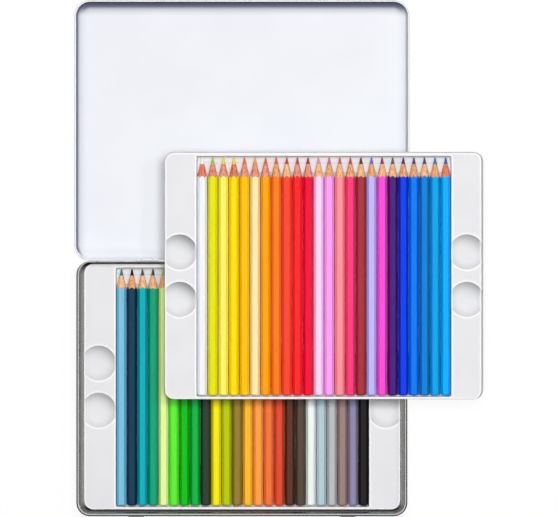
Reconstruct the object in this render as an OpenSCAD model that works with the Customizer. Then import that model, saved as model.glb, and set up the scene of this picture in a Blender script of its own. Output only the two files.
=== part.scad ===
// Two-tray tin of 48 coloured pencils, opened flat, with the upper tray lifted out and laid across the hinge.
// The origin is the centre of the base's underside, +Y points to the hinge and the lid, and +Z points up.

/* [Pencils] */
// Length of a sharpened pencil
pencil_length = 175; // [120:1:200]
// Thickness of a pencil across its flats
pencil_flats = 6.7; // [5.5:0.1:8]
// How much the rounding takes off the width across the corners
corner_trim = 0.29; // [0.1:0.01:0.6]
// Gap between neighbouring pencils
pencil_gap = 0.33; // [0.2:0.01:1]
// Number of pencils in each tray
pencils_per_tray = 24; // [14:1:24]
// Diameter of the lead
lead_d = 2.9; // [2:0.1:4]
// Diameter of the lead's worn tip
lead_tip_d = 0.6; // [0.3:0.1:1.2]
// Glue line around the lead
lead_glue = 0.03; // [0.01:0.01:0.1]
// Angle between the sharpened cone and the pencil's axis
point_angle = 13; // [9:0.5:20]
// Wood left behind the lead at the closed end
blind_end = 3; // [1:0.5:10]
// Rounding of the dipped end
end_rounding = 1.2; // [0.4:0.1:2]

/* [Trays] */
// Thickness of the thermoformed sheet
tray_sheet = 0.7; // [0.5:0.05:0.9]
// Depth of the cross channels below the floors of the grooves
channel_depth = 1.1; // [0.6:0.1:2]
// How far the pencils lie below the tray's top panel
pencil_sunk = 0.9; // [0.3:0.1:3]
// Height of the ridges between the pencils
ridge_h = 2.3; // [1:0.1:2.5]
// Gap between a ridge and the slanted face of a pencil
ridge_clear = 0.35; // [0.2:0.05:0.6]
// Gap between the pencils and the recess at each end
end_gap = 0.85; // [0.5:0.05:3]
// Gap between the outer pencils and the recess at each side
side_gap = 0.35; // [0.2:0.05:3]
// Width of the flange beyond the points
tip_flange = 3.2; // [2:0.1:10]
// Width of the flange beyond the blunt ends
end_flange = 2.1; // [1.5:0.1:10]
// Width of the panel on each side of the recess
side_panel = 23.8; // [20:0.1:40]
// Corner radius of the tray seen from above
tray_corner = 7.2; // [4:0.1:12]
// Bend radius at the tray's top edge
tray_edge = 1.2; // [1:0.1:2]
// How far the outer skirt stays above the surface under the tray
skirt_lift = 0.4; // [0:0.1:1.5]
// Corner radius of the pencil recess
recess_corner = 1.5; // [0.5:0.1:3]
// Distance from the points to the near side of the raised bar under the cones
bar_near = 4; // [1:0.5:5]
// Distance from the points to the far side of the raised bar
bar_far = 11.4; // [7:0.1:14]
// Distance from the points to the start of the long ridged bed
long_bed_near = 26; // [16:1:40]
// Distance from the blunt ends to the end of the long ridged bed
long_bed_stop = 29; // [20:1:40]
// Distance from the blunt ends to the start of the short ridged bed
short_bed_start = 8; // [5:0.5:14]

/* [Finger scoops] */
// Diameter of a scoop at the panel
scoop_d = 25.5; // [14:0.5:30]
// Depth of a scoop below the panel
scoop_depth = 4.5; // [3.5:0.5:6.5]
// Bend radius where a scoop's floor meets its side
scoop_bend = 3; // [1:0.5:3]
// Distance from the tray's side to the centre of a scoop
scoop_from_side = 12; // [8:0.5:14]
// Distance between the two scoops of one side, centre to centre
scoop_spacing = 34.8; // [31:0.1:60]

/* [Tin base] */
// Thickness of the tinplate
tin_sheet = 0.3; // [0.25:0.05:0.6]
// Corner radius of the base seen from above
tin_corner = 10; // [6:0.5:20]
// Bend radius where the base's floor meets its walls
base_bend = 2; // [1:0.1:4]
// Diameter of the bead rolled into the base's rim
rim_bead_d = 1.4; // [1:0.1:2.4]
// Play between the trays and the side walls
tray_play_side = 4.25; // [2.5:0.05:10]
// Play between the trays and the wall at the hinge
tray_play_rear = 1.3; // [1.3:0.05:4]
// Play between the trays and the front wall
tray_play_front = 3.9; // [2.5:0.05:10]
// How far the lower tray sits off the middle, sideways
tray_off_middle = 0.35; // [0:0.05:0.4]
// Rise of the base's rim above the two stacked trays
stack_headroom = 1.3; // [0.5:0.1:6]

/* [Lid] */
// Space between the base's rim and the closed lid
lid_headroom = 1.1; // [0.8:0.1:4]
// Gap between the base and the closed lid at each side
lid_gap_side = 0.9; // [0.6:0.05:3]
// Gap between the base and the closed lid at the front
lid_gap_front = 1.8; // [1.75:0.05:4]
// Height of the open lid's rim above the hinge axis
lid_rim_rise = 0.5; // [0.3:0.05:0.9]
// Bend radius where the lid's panel meets its walls
lid_bend = 3.4; // [1.2:0.1:3.6]
// Height of the hem folded around the lid's rim
hem_h = 2.2; // [1.2:0.1:3]
// Thickness that the hem adds outside the lid's wall
hem_out = 0.45; // [0.3:0.05:0.6]

/* [Latch beads] */
// Distance from the base's sides to the latch beads
bead_inset = 44; // [38:0.5:50]
// Length of a latch bead
bead_len = 13.5; // [8:0.5:20]
// How far a base bead stands out of the front wall
base_bead_out = 0.75; // [0.3:0.05:0.8]
// Section radius of a base bead
base_bead_r = 2; // [1.2:0.1:3]
// Distance from the base's rim to its beads
base_bead_drop = 5; // [4:0.5:8]
// How far a lid bead stands into the lid
lid_bead_in = 0.45; // [0.2:0.05:0.6]
// Section radius of a lid bead
lid_bead_r = 1.5; // [1.1:0.1:2]
// Distance from the lid's rim to its beads
lid_bead_drop = 4; // [3.5:0.1:5]
// Distance from the base's sides to the lid's pips
pip_inset = 32; // [20:0.5:34]
// How far a pip stands into the lid
pip_in = 1; // [0.4:0.1:1.2]
// Radius of a pip
pip_r = 1.9; // [1.3:0.1:2.4]
// Distance from the lid's rim to its pips
pip_drop = 5; // [4.5:0.5:6]

/* [Hinges] */
// Distance from the base's sides to the middle of a hinge
hinge_inset = 52; // [30:0.5:56]
// Width of a hinge over all its knuckles
hinge_w = 16.6; // [12:0.1:30]
// Width of the base's knuckle
base_knuckle_w = 8; // [4:0.1:9]
// Gap between neighbouring knuckles
knuckle_gap = 0.3; // [0.1:0.05:0.6]
// Outer diameter of a knuckle
knuckle_d = 2; // [1.8:0.1:2.4]
// Gap between a knuckle and the base's rear wall
knuckle_off = 0.1; // [0.05:0.05:0.5]
// Diameter of the hinge wire
pin_d = 1.1; // [0.6:0.1:1.2]
// Radial clearance around the hinge wire
pin_clear = 0.05; // [0.01:0.01:0.1]
// How far the wire's ends stay inside the outer knuckles
pin_short = 0.2; // [0:0.1:1]
// Width of the slit beside each hinge in the lid's hem
slit_w = 0.8; // [0.4:0.1:2]
// Room below a knuckle in the notch and slits of the lid's wall
notch_room = 0.5; // [0.2:0.1:1]

/* [Laid-out upper tray] */
// Sideways shift of the upper tray from its place in the tin
lay_x = 60; // [40:1:80]
// Shift of the upper tray towards the lid
lay_y = 82; // [60:1:95]
// Gap between the base's rim and the tray that lies across it
lay_gap = 0.3; // [0.2:0.05:0.6]

/* [Hidden] */
$fn = 64;
// Overlap that lets a cut run clear of a face
cut = 1;

upper_inks = [
    ["white", [0.93, 0.93, 0.96]],
    ["lemon", [0.87, 0.90, 0.08]],
    ["light_yellow", [1.00, 0.92, 0.35]],
    ["yellow", [1.00, 0.87, 0.00]],
    ["golden_yellow", [1.00, 0.76, 0.00]],
    ["cream", [1.00, 0.91, 0.68]],
    ["light_orange", [1.00, 0.62, 0.00]],
    ["orange", [1.00, 0.48, 0.06]],
    ["vermilion", [1.00, 0.27, 0.16]],
    ["red", [0.96, 0.10, 0.11]],
    ["crimson", [0.92, 0.00, 0.24]],
    ["light_pink", [0.98, 0.70, 0.93]],
    ["orchid_pink", [0.95, 0.30, 0.80]],
    ["salmon", [0.98, 0.52, 0.52]],
    ["raspberry", [0.82, 0.06, 0.33]],
    ["maroon", [0.42, 0.08, 0.14]],
    ["lavender", [0.70, 0.56, 0.93]],
    ["magenta", [1.00, 0.28, 0.80]],
    ["violet", [0.29, 0.06, 0.47]],
    ["ultramarine", [0.02, 0.22, 0.86]],
    ["blue", [0.05, 0.44, 0.98]],
    ["cerulean", [0.00, 0.48, 0.78]],
    ["azure", [0.00, 0.62, 0.88]],
    ["sky_blue", [0.00, 0.66, 0.97]]
];
lower_inks = [
    ["light_blue", [0.45, 0.78, 0.93]],
    ["navy", [0.02, 0.16, 0.32]],
    ["turquoise", [0.00, 0.65, 0.68]],
    ["sea_green", [0.02, 0.57, 0.42]],
    ["pale_green", [0.72, 0.93, 0.42]],
    ["bright_green", [0.33, 0.83, 0.20]],
    ["leaf_green", [0.13, 0.70, 0.24]],
    ["green", [0.00, 0.52, 0.24]],
    ["black_green", [0.02, 0.17, 0.13]],
    ["strong_yellow", [0.98, 0.90, 0.10]],
    ["olive_lime", [0.68, 0.68, 0.08]],
    ["olive_brown", [0.42, 0.38, 0.10]],
    ["amber", [0.98, 0.70, 0.06]],
    ["deep_orange", [0.96, 0.48, 0.10]],
    ["coral", [0.93, 0.28, 0.18]],
    ["brick_red", [0.72, 0.12, 0.12]],
    ["brown", [0.45, 0.22, 0.12]],
    ["dark_brown", [0.25, 0.14, 0.09]],
    ["mint_white", [0.90, 0.95, 0.95]],
    ["blue_grey", [0.70, 0.78, 0.85]],
    ["grey", [0.48, 0.50, 0.53]],
    ["mauve_brown", [0.50, 0.38, 0.40]],
    ["purple_grey", [0.36, 0.32, 0.38]],
    ["black", [0.07, 0.07, 0.08]]
];

function pencil_name(tray, inks, i) = str(tray, "_pencil_", i < 9 ? "0" : "", i + 1, "_", inks[i][0]);
pencil_rows = [0 : pencils_per_tray - 1];

tinplate = [0.74, 0.75, 0.76];
enamel = [0.93, 0.94, 0.97];
white_plastic = [0.90, 0.91, 0.93];
wire_steel = [0.62, 0.63, 0.65];

// Pencils
pencil_corners = pencil_flats / cos(30) - corner_trim;
pencil_pitch = pencil_corners + pencil_gap;
corner_r = pencil_corners / 2;
lead_r = lead_d / 2;
tip_r = lead_tip_d / 2;
// Depth behind the tip at which the sharpened cone reaches a radius
function cone_depth(radius) = (radius - tip_r) / tan(point_angle);

// Trays
groove_z = tray_sheet + channel_depth;
tray_h = groove_z + pencil_flats + pencil_sunk;
recess_w = (pencils_per_tray - 1) * pencil_pitch + pencil_corners + 2 * side_gap;
recess_d = pencil_length + 2 * end_gap;
tray_w = recess_w + 2 * side_panel;
tray_d = recess_d + tip_flange + end_flange;
recess_y = (end_flange - tip_flange) / 2;
tip_y = recess_y + recess_d / 2 - end_gap;
blunt_y = tip_y - pencil_length;
// Half the width of the space between two pencils at a height above the groove floor
function half_space(height) = (pencil_pitch - pencil_flats * tan(30)) / 2 - height * tan(30);
ridge_slant = ridge_clear / cos(30);
scoop_r = scoop_d / 2;

// Tin
base_w = tray_w + 2 * tray_play_side + 2 * tin_sheet;
base_d = tray_d + tray_play_rear + tray_play_front + 2 * tin_sheet;
base_h = tin_sheet + 2 * tray_h + stack_headroom;
closed_h = base_h + lid_headroom + tin_sheet;
tray_x = tray_off_middle;
tray_y = (tray_play_front - tray_play_rear) / 2;

// Hinge axis, at half the closed height, so that the open lid lies flat beside the base
knuckle_r = knuckle_d / 2;
axis_y = base_d / 2 + knuckle_off + knuckle_r;
axis_z = closed_h / 2;
hinge_x = base_w / 2 - hinge_inset;

// Lid, as it lies open
lid_h = axis_z + lid_rim_rise;
lid_in_w = base_w + 2 * lid_gap_side;
lid_near = axis_y + tin_sheet / 2;
lid_far = 2 * axis_y + base_d / 2 + lid_gap_front;
lid_w = lid_in_w + 2 * tin_sheet;
lid_d = lid_far - lid_near + 2 * tin_sheet;
lid_y = (lid_far + lid_near) / 2;
lid_corner = tin_corner + lid_gap_side + tin_sheet;
hem_w = tin_sheet + hem_out;

// A flat plate with rounded corners, standing on z = 0
module plate(w, d, h, r) {
    linear_extrude(h) {
        square([w, d - 2 * r], center = true);
        square([w - 2 * r, d], center = true);
        for (sx = [-1, 1], sy = [-1, 1])
            translate([sx * (w / 2 - r), sy * (d / 2 - r)]) circle(r);
    }
}

// A section carried around a rounded rectangle. Its x is measured outward from the corner centres.
module carried_around(w, d, r) {
    for (mx = [0, 1], my = [0, 1])
        mirror([mx, 0, 0]) mirror([0, my, 0])
            translate([w / 2 - r, d / 2 - r, 0]) rotate_extrude(angle = 90) children();
    for (mx = [0, 1])
        mirror([mx, 0, 0]) translate([w / 2 - r, 0, 0]) rotate([90, 0, 0])
            linear_extrude(d - 2 * r, center = true) children();
    for (my = [0, 1])
        mirror([0, my, 0]) translate([0, d / 2 - r, 0]) rotate([90, 0, 90])
            linear_extrude(w - 2 * r, center = true) children();
}

// Section of a sheet that runs outward along z = 0 and bends up into a wall that starts at z = bend
module bent_sheet(r, bend, sheet) {
    square([r - bend, sheet]);
    translate([r - bend, bend]) intersection() {
        difference() {
            circle(bend);
            circle(bend - sheet);
        }
        translate([0, -bend]) square([bend, bend]);
    }
}

// A bar with round ends along X, for the pressed beads
module capsule(len, r) {
    span = len - 2 * r;
    rotate([0, 90, 0]) cylinder(h = span, r = r, center = true);
    for (sx = [-1, 1])
        translate([sx * span / 2, 0, 0]) sphere(r);
}

module base_section() {
    bead_r = rim_bead_d / 2;
    bent_sheet(tin_corner, base_bend, tin_sheet);
    translate([tin_corner - tin_sheet, base_bend]) square([tin_sheet, base_h - base_bend - bead_r]);
    translate([tin_corner - bead_r, base_h - bead_r]) circle(bead_r);
}

// Places a latch bead of the base, which stands out of the front wall
module at_base_beads() {
    for (sx = [-1, 1])
        translate([sx * (base_w / 2 - bead_inset), base_bead_r - base_bead_out - base_d / 2, base_h - base_bead_drop])
            children();
}

// The curled knuckle at the middle of a hinge, with the tab that ties it to the base's wall
module base_knuckle() {
    rotate([0, 90, 0]) cylinder(h = base_knuckle_w, r = knuckle_r, center = true);
    tab = knuckle_r + knuckle_off + tin_sheet / 2;
    translate([-base_knuckle_w / 2, -tab, -knuckle_r]) cube([base_knuckle_w, tab, tin_sheet]);
}

module pin_hole() {
    rotate([0, 90, 0]) cylinder(h = hinge_w + 2 * cut, r = pin_d / 2 + pin_clear, center = true);
}

module at_hinges() {
    for (sx = [-1, 1])
        translate([sx * hinge_x, axis_y, axis_z]) children();
}

module base_shell() {
    color(tinplate) difference() {
        union() {
            carried_around(base_w, base_d, tin_corner) base_section();
            linear_extrude(tin_sheet) square([base_w - 2 * tin_corner, base_d - 2 * tin_corner], center = true);
            intersection() {
                at_base_beads() capsule(bead_len, base_bead_r);
                translate([-base_w / 2, -base_d, 0]) cube([base_w, base_d / 2 + tin_sheet / 2, base_h]);
            }
            at_hinges() base_knuckle();
        }
        at_base_beads() capsule(bead_len - 2 * tin_sheet, base_bead_r - tin_sheet);
        at_hinges() pin_hole();
    }
}

module lid_section() {
    bent_sheet(lid_corner, lid_bend, tin_sheet);
    translate([lid_corner - tin_sheet, lid_bend]) square([tin_sheet, lid_h - lid_bend - hem_w / 2]);
    translate([lid_corner - tin_sheet, lid_h - hem_h]) square([hem_w, hem_h - hem_w / 2]);
    translate([lid_corner - tin_sheet + hem_w / 2, lid_h - hem_w / 2]) circle(hem_w / 2);
}

// Places a latch bead of the lid, pressed inward from the front wall, which lies farthest away when open
module at_lid_beads() {
    for (sx = [-1, 1])
        translate([sx * (base_w / 2 - bead_inset), lid_far + lid_bead_r - lid_bead_in, lid_h - lid_bead_drop]) children();
}

module at_lid_pips() {
    for (sx = [-1, 1])
        translate([sx * (base_w / 2 - pip_inset), lid_far + pip_r - pip_in, lid_h - pip_drop]) children();
}

// The two outer knuckles of a hinge, curled from the lid's rear wall
module lid_knuckles() {
    inner = base_knuckle_w / 2 + knuckle_gap;
    for (mx = [0, 1])
        mirror([mx, 0, 0]) translate([inner, 0, 0]) rotate([0, 90, 0])
            cylinder(h = hinge_w / 2 - inner, r = knuckle_r);
}

// Room in the lid's wall for the base's knuckle, and the slits that end the curled part of the hem
module hinge_notches() {
    clear_w = base_knuckle_w + 2 * knuckle_gap;
    drop = knuckle_r + notch_room;
    rise = lid_rim_rise + cut;
    translate([-clear_w / 2, -knuckle_d, -drop]) cube([clear_w, 2 * knuckle_d, drop + rise]);
    for (sx = [-1, 1])
        translate([sx * (hinge_w + slit_w) / 2 - slit_w / 2, -knuckle_d, -drop])
            cube([slit_w, 2 * knuckle_d, drop + rise]);
}

module lid_shell() {
    color(enamel) difference() {
        union() {
            difference() {
                translate([0, lid_y, 0]) {
                    carried_around(lid_w, lid_d, lid_corner) lid_section();
                    linear_extrude(tin_sheet)
                        square([lid_w - 2 * lid_corner, lid_d - 2 * lid_corner], center = true);
                }
                at_hinges() hinge_notches();
            }
            at_hinges() lid_knuckles();
            intersection() {
                union() {
                    at_lid_beads() capsule(bead_len, lid_bead_r);
                    at_lid_pips() sphere(pip_r);
                }
                translate([-base_w / 2, lid_far - base_d, 0]) cube([base_w, base_d + tin_sheet / 2, lid_h]);
            }
        }
        at_lid_beads() capsule(bead_len - 2 * tin_sheet, lid_bead_r - tin_sheet);
        at_lid_pips() sphere(pip_r - tin_sheet);
        at_hinges() pin_hole();
    }
}

module hinge_pin(side) {
    color(wire_steel) translate([side * hinge_x, axis_y, axis_z]) rotate([0, 90, 0])
        cylinder(h = hinge_w - 2 * pin_short, r = pin_d / 2, center = true);
}

module tray_section() {
    mirror([0, 1]) bent_sheet(tray_corner, tray_edge, tray_sheet);
    drop = tray_h - skirt_lift;
    translate([tray_corner - tray_sheet, -drop]) square([tray_sheet, drop - tray_edge]);
}

module at_scoops() {
    for (sx = [-1, 1], sy = [-1, 1])
        translate([sx * (tray_w / 2 - scoop_from_side), sy * scoop_spacing / 2, tray_h]) children();
}

// The round dish of a scoop, enlarged all round by a thickness, with the panel's top at z = 0
module scoop_dish(grow) {
    depth = scoop_depth + grow;
    bend = scoop_bend + grow;
    rotate_extrude() {
        translate([0, -depth]) square([scoop_r - scoop_bend, bend]);
        translate([scoop_r - scoop_bend, bend - depth]) circle(bend);
        translate([0, bend - depth]) square([scoop_r + grow, depth - bend + cut]);
    }
}

// A flat-topped bar across the recess, between two distances behind the points, hollow beneath
module recess_bar(near, far) {
    y = tip_y - far;
    difference() {
        translate([-recess_w / 2, y, 0]) cube([recess_w, far - near, groove_z]);
        under_bar(near, far);
    }
}

module under_bar(near, far) {
    y = tip_y - far;
    translate([-recess_w / 2 + tray_sheet, y + tray_sheet, -cut])
        cube([recess_w - 2 * tray_sheet, far - near - 2 * tray_sheet, groove_z - tray_sheet + cut]);
}

// The ridges that part the pencils, between two distances behind the points
module ridges(near, far) {
    foot = half_space(0) - ridge_slant;
    crest = half_space(ridge_h) - ridge_slant;
    for (i = [1 : pencils_per_tray - 1])
        translate([(i - pencils_per_tray / 2) * pencil_pitch, tip_y - near, groove_z]) rotate([90, 0, 0])
            linear_extrude(far - near) polygon([[-foot, 0], [foot, 0], [crest, ridge_h], [-crest, ridge_h]]);
}

module tray() {
    long_bed_far = pencil_length - long_bed_stop;
    short_bed_near = pencil_length - short_bed_start;
    short_bed_far = pencil_length + end_gap;
    color(white_plastic) {
        difference() {
            union() {
                translate([0, 0, tray_h]) carried_around(tray_w, tray_d, tray_corner) tray_section();
                translate([0, 0, tray_h - tray_sheet])
                    linear_extrude(tray_sheet)
                        square([tray_w - 2 * tray_corner, tray_d - 2 * tray_corner], center = true);
                translate([0, recess_y, 0])
                    plate(recess_w + 2 * tray_sheet, recess_d + 2 * tray_sheet, tray_h - tray_sheet / 2,
                        recess_corner + tray_sheet);
                intersection() {
                    at_scoops() scoop_dish(tray_sheet);
                    translate([0, 0, skirt_lift])
                        plate(tray_w - tray_sheet, tray_d - tray_sheet, tray_h - tray_sheet / 2 - skirt_lift,
                            tray_corner);
                }
            }
            difference() {
                translate([0, recess_y, tray_sheet]) plate(recess_w, recess_d, tray_h, recess_corner);
                recess_bar(bar_near, bar_far);
                recess_bar(long_bed_near, long_bed_far);
                recess_bar(short_bed_near, short_bed_far);
                ridges(long_bed_near, long_bed_far);
                ridges(short_bed_near, short_bed_far);
            }
            under_bar(bar_near, bar_far);
            under_bar(long_bed_near, long_bed_far);
            under_bar(short_bed_near, short_bed_far);
            at_scoops() scoop_dish(0);
        }
    }
}

module at_lower_tray() {
    translate([tray_x, tray_y, tin_sheet]) children();
}

module at_upper_tray() {
    translate([tray_x + lay_x, tray_y + lay_y, base_h + lay_gap]) children();
}

// Outline of the wooden casing, turned about the pencil's axis, with the tip at z = 0
module casing_outline() {
    polygon([
        [0, 0],
        [tip_r, 0],
        [corner_r, -cone_depth(corner_r)],
        [corner_r, end_rounding - pencil_length],
        [0, end_rounding - pencil_length]
    ]);
    translate([0, -pencil_length]) square([corner_r - end_rounding, end_rounding]);
    translate([corner_r - end_rounding, end_rounding - pencil_length]) intersection() {
        circle(end_rounding);
        translate([0, -end_rounding]) square([end_rounding, end_rounding]);
    }
}

// The painted wooden casing, six-sided behind the cone, with the bore for the lead
module casing() {
    difference() {
        intersection() {
            rotate_extrude() casing_outline();
            translate([0, 0, -pencil_length - cut])
                linear_extrude(pencil_length + 2 * cut) circle(d = pencil_flats / cos(30), $fn = 6);
        }
        translate([0, 0, blind_end - lead_glue - pencil_length])
            cylinder(h = pencil_length, r = lead_r + lead_glue);
    }
}

module lead() {
    rotate_extrude() polygon([
        [0, 0],
        [tip_r, 0],
        [lead_r, -cone_depth(lead_r)],
        [lead_r, blind_end - pencil_length],
        [0, blind_end - pencil_length]
    ]);
}

// Pencil number i of a tray, lying in its groove with the point towards +Y
module pencil(i, inks) {
    x = (i - (pencils_per_tray - 1) / 2) * pencil_pitch;
    color(inks[i][1]) translate([x, tip_y, groove_z + pencil_flats / 2]) rotate([-90, 0, 0]) {
        casing();
        lead();
    }
}

base_shell();
lid_shell();
hinge_pin(-1);  // hinge_pin_left
hinge_pin(1);  // hinge_pin_right
at_lower_tray() tray();  // lower_tray
at_upper_tray() tray();  // upper_tray
for (i = pencil_rows)
    at_upper_tray() pencil(i, upper_inks);
for (i = pencil_rows)
    at_lower_tray() pencil(i, lower_inks);
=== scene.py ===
import math
import random

import bmesh
import bpy
from mathutils import Matrix, Vector


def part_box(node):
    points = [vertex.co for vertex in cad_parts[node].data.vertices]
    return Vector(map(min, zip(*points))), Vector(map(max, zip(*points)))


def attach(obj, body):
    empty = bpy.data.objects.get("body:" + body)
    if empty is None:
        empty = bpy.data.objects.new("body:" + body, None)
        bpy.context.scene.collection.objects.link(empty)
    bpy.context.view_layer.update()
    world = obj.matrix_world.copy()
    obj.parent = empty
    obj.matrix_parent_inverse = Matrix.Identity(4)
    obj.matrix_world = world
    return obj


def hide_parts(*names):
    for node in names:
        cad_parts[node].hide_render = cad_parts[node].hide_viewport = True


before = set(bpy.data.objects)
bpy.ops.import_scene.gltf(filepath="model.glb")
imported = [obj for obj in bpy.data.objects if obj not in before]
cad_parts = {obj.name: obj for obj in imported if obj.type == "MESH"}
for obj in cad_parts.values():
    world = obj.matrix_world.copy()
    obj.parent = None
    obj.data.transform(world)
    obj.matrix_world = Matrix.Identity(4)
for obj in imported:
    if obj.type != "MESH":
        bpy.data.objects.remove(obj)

bpy.context.view_layer.update()

# All modelling below is in millimetres, in the frame's axes. build() turns it into metres.
MM = 0.001


def box_mm(node):
    """Lowest and highest corner of a CAD node, in millimetres."""
    low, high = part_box(node)
    return low / MM, high / MM


def clamp(value, low=0.0, high=1.0):
    return max(low, min(high, value))


def ease(value):
    """0 below 0, 1 above 1, and a smooth step between."""
    share = clamp(value)
    return share * share * (3 - 2 * share)


def soft_max(a, b, blend):
    """The larger of two numbers, with the corner between them rounded."""
    overlap = max(blend - abs(a - b), 0) / blend
    return max(a, b) + overlap * overlap * blend / 4


def read_table(table, value):
    """A number between the entries of a table of (value, result), which rises by value."""
    if value <= table[0][0]:
        return table[0][1]
    for (v0, r0), (v1, r1) in zip(table, table[1:]):
        if value <= v1:
            return r0 + (r1 - r0) * (value - v0) / (v1 - v0)
    return table[-1][1]


def polar(radius, degrees, middle=(0.0, 0.0)):
    """The place at a distance and an angle from a middle."""
    turn = math.radians(degrees)
    return middle[0] + radius * math.cos(turn), middle[1] + radius * math.sin(turn)


def add_object(name, data):
    """An object in the scene, made of its data."""
    made = bpy.data.objects.new(name, data)
    bpy.context.scene.collection.objects.link(made)
    return made


# Camera

# The photograph looks straight down. Its middle lies over this point.
PHOTO_WIDTH = 558
PIXEL_MM = 0.7342
LOOK_AT = (27.35, 95.9)
CAMERA_HEIGHT = 3500.0
PENCIL_TOPS = 29.0

camera_data = bpy.data.cameras.new("Camera")
camera_data.sensor_width = 36.0
camera_data.lens = camera_data.sensor_width * (CAMERA_HEIGHT - PENCIL_TOPS) / (PHOTO_WIDTH * PIXEL_MM)
camera_data.clip_start = 0.1
camera_data.clip_end = 20.0
camera = add_object("Camera", camera_data)
camera.location = Vector((*LOOK_AT, CAMERA_HEIGHT)) * MM
bpy.context.scene.camera = camera
bpy.context.scene.view_settings.view_transform = "Standard"


# Materials

def linear(red, green, blue):
    """A colour given as on a screen, 0 to 255, turned into linear light."""
    def channel(value):
        share = value / 255
        return share / 12.92 if share <= 0.04045 else ((share + 0.055) / 1.055) ** 2.4
    return (channel(red), channel(green), channel(blue), 1.0)


def add_node(tree, kind, sockets, **settings):
    """A shader node. Each socket takes a value or another node's output."""
    node = tree.nodes.new("ShaderNode" + kind)
    for name, value in settings.items():
        setattr(node, name, value)
    for socket, value in sockets.items():
        if isinstance(value, bpy.types.NodeSocket):
            tree.links.new(value, node.inputs[socket])
        else:
            node.inputs[socket].default_value = value
    return node


def colour_ramp(tree, factor, stops):
    """A colour ramp over a factor, with stops of (place, colour)."""
    ramp = add_node(tree, "ValToRGB", {"Fac": factor})
    elements = ramp.color_ramp.elements
    while len(elements) < len(stops):
        elements.new(0.5)
    for element, (place, colour) in zip(elements, stops):
        element.position = place
        element.color = colour
    return ramp.outputs["Color"]


class Finish:
    """A procedural material: a Principled shader with colour, roughness and relief from noise."""

    def __init__(self, name, colour, roughness, **sockets):
        self.material = bpy.data.materials.new(name)
        self.material.use_nodes = True
        self.tree = self.material.node_tree
        self.shader = self.tree.nodes["Principled BSDF"]
        for socket, value in {"Base Color": colour, "Roughness": roughness, **sockets}.items():
            self.shader.inputs[socket.replace("_", " ")].default_value = value
        self.where = add_node(self.tree, "TexCoord", {}).outputs["Object"]
        self.relief = None

    def noise(self, per_mm, stretch=(1, 1, 1), detail=3.0, offset=0.0):
        """Noise with about per_mm grains in a millimetre, drawn out by stretch and moved by offset."""
        scale = [per_mm / MM / s for s in stretch]
        sockets = {"Vector": self.where, "Location": [offset] * 3, "Scale": scale}
        place = add_node(self.tree, "Mapping", sockets).outputs["Vector"]
        sockets = {"Vector": place, "Scale": 1.0, "Detail": detail}
        return add_node(self.tree, "TexNoise", sockets).outputs["Fac"]

    def attribute(self, name):
        """A value that the mesh's points carry under a name."""
        return add_node(self.tree, "Attribute", {}, attribute_name=name).outputs["Fac"]

    def ramp(self, factor, *stops):
        return colour_ramp(self.tree, factor, stops)

    def spread(self, factor, low, high):
        """A factor between 0.3 and 0.7 carried over to the span from low to high."""
        sockets = {"Value": factor, "From Min": 0.3, "From Max": 0.7, "To Min": low, "To Max": high}
        return add_node(self.tree, "MapRange", sockets).outputs["Result"]

    def mix(self, factor, first, second):
        """Two colours mixed by a factor. A colour is a value or a node's output."""
        return add_node(self.tree, "Mix", {0: factor, 6: first, 7: second}, data_type="RGBA").outputs[2]

    def colour(self, output):
        self.tree.links.new(output, self.shader.inputs["Base Color"])

    def roughness(self, factor, low, high):
        self.tree.links.new(self.spread(factor, low, high), self.shader.inputs["Roughness"])

    def bump(self, height, depth_mm):
        """Adds relief of a depth in millimetres, on top of what is there."""
        sockets = {"Height": height, "Distance": depth_mm * MM, "Strength": 1.0}
        if self.relief is not None:
            sockets["Normal"] = self.relief
        self.relief = add_node(self.tree, "Bump", sockets).outputs["Normal"]
        self.tree.links.new(self.relief, self.shader.inputs["Normal"])


def shade(colour, factor):
    """A colour made darker or lighter by a factor."""
    return tuple(clamp(channel * factor) for channel in colour[:3]) + (1.0,)


def lacquer_finish(name, ink):
    """Glossy dipped lacquer, slightly streaked along the pencil, with painted shade along the barrel's side
    edges where the gap beside a neighbour falls dark.
    """
    colour = linear(*ink)
    finish = Finish(name, colour, 0.3, Specular_IOR_Level=0.3)
    streaks = finish.noise(1.2, stretch=(1, 40, 1), detail=2)
    plain = finish.ramp(streaks, (0.3, shade(colour, 0.92)), (0.7, shade(colour, 1.03)))
    # Painted shade along the side edges, for the dark gap beside a neighbour
    finish.colour(finish.mix(finish.attribute("gap"), plain, shade(colour, 0.22)))
    finish.roughness(finish.noise(0.6, stretch=(1, 12, 1)), 0.26, 0.36)
    finish.bump(finish.noise(0.9, stretch=(1, 16, 1), detail=1), 0.004)
    return finish.material


def lead_finish(name, ink):
    """Waxy lead, with the rings and flecks that the sharpener leaves."""
    colour = linear(*ink)
    finish = Finish(name, colour, 0.42)
    flecks = finish.noise(5, detail=4)
    finish.colour(finish.ramp(flecks, (0.32, shade(colour, 0.8)), (0.68, shade(colour, 1.12))))
    finish.roughness(flecks, 0.34, 0.55)
    finish.bump(finish.noise(4, stretch=(6, 1, 6), detail=2), 0.03)
    return finish.material


def wood_finish(name, *tones):
    """Sharpened cedar: grain along the pencil, pores, and faint steps of the cut."""
    pale, warm, dark = [linear(*tone) for tone in tones]
    finish = Finish(name, warm, 0.62)
    grain = finish.noise(1.6, stretch=(1, 9, 1), detail=4)
    pores = finish.noise(6, stretch=(1, 12, 1), detail=2, offset=3.7)
    bands = finish.ramp(grain, (0.30, dark), (0.44, warm), (0.58, pale), (0.72, warm))
    finish.colour(finish.mix(finish.spread(pores, 0.0, 0.35), bands, dark))
    finish.roughness(pores, 0.55, 0.75)
    finish.bump(pores, 0.04)
    finish.bump(finish.noise(3, stretch=(5, 1, 5), detail=1), 0.03)
    return finish.material


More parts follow.
